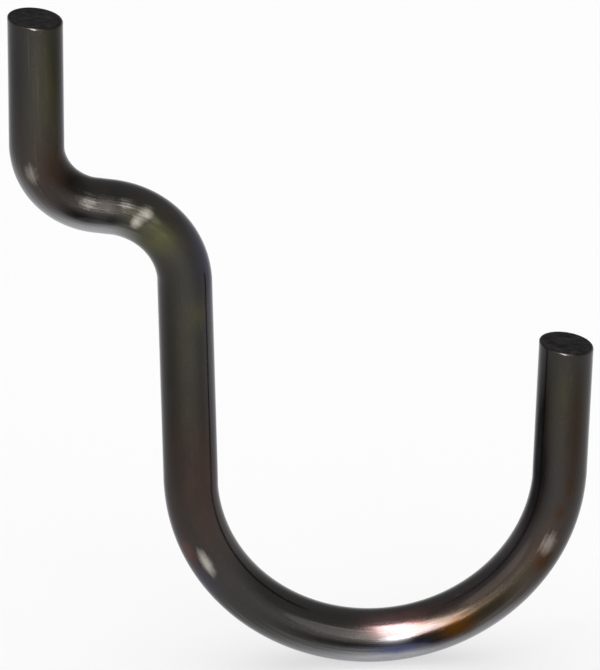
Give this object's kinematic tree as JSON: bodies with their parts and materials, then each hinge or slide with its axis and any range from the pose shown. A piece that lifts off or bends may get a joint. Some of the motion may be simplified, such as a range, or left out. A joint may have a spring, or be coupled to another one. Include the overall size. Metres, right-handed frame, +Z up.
{
  "type": "pegboard hook",
  "caption": "Open J-shaped peg hook bent from plated round rod, with an upright tail, a sloping run, a shank and a wide round cradle.",
  "frame": {"origin": "on the rod's axis, halfway along the short sloping run that passes through the board's hole", "axes": "+Z up along the tail, +X out of the board towards the cradle, the rod lies in the XZ plane"},
  "size_m": [0.0583, 0.0054, 0.072],
  "materials": {
    "plated_steel": "gloss"
  },
  "bodies": {
    "root": {"bent_rod": "plated_steel"}
  },
  "joints": []
}
